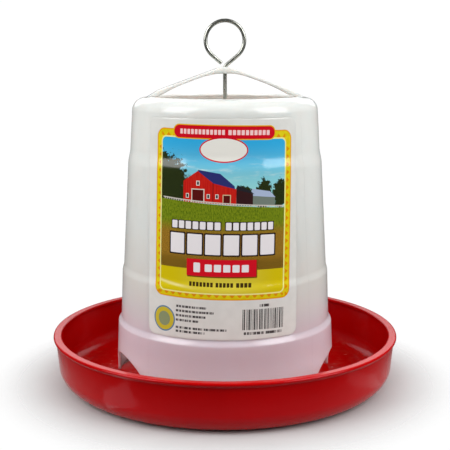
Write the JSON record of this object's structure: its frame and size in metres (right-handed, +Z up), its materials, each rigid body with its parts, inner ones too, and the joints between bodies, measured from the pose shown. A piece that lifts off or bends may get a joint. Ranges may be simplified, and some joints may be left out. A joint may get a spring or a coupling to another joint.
{
  "type": "hanging gravity poultry feeder",
  "caption": "Hanging gravity feeder for poultry: red pan with a lip and feed cone, translucent stepped hopper with arches, bridge, label and bent wire hanger.",
  "frame": {"origin": "on the pan's axis at its underside", "axes": "+Z up along the hanger wire; +X along the hopper's bridge; the front with the label faces -Y"},
  "size_m": [0.23, 0.23, 0.2385],
  "materials": {
    "pan_plastic": "smooth moulded red plastic, semi-gloss",
    "hopper_plastic": "smooth translucent natural white plastic, semi-gloss",
    "wire": "galvanised drawn steel wire",
    "label": "printed self-adhesive paper with a satin coat"
  },
  "bodies": {
    "feed_pan": {"feed_pan": "pan_plastic"},
    "hopper": {"hopper": "hopper_plastic", "front_label": "label"},
    "hanger_wire": {"hanger_wire": "wire"}
  },
  "joints": [
    {"name": "hopper_lift", "type": "slide", "parent": "feed_pan", "child": "hopper", "axis": [0, 0, 1], "range_m": [0, 0.06]},
    {"name": "hanger_swivel", "type": "hinge", "parent": "hopper", "child": "hanger_wire", "pos_m": [0, 0, 0], "axis": [0, 0, 1], "continuous": true}
  ]
}
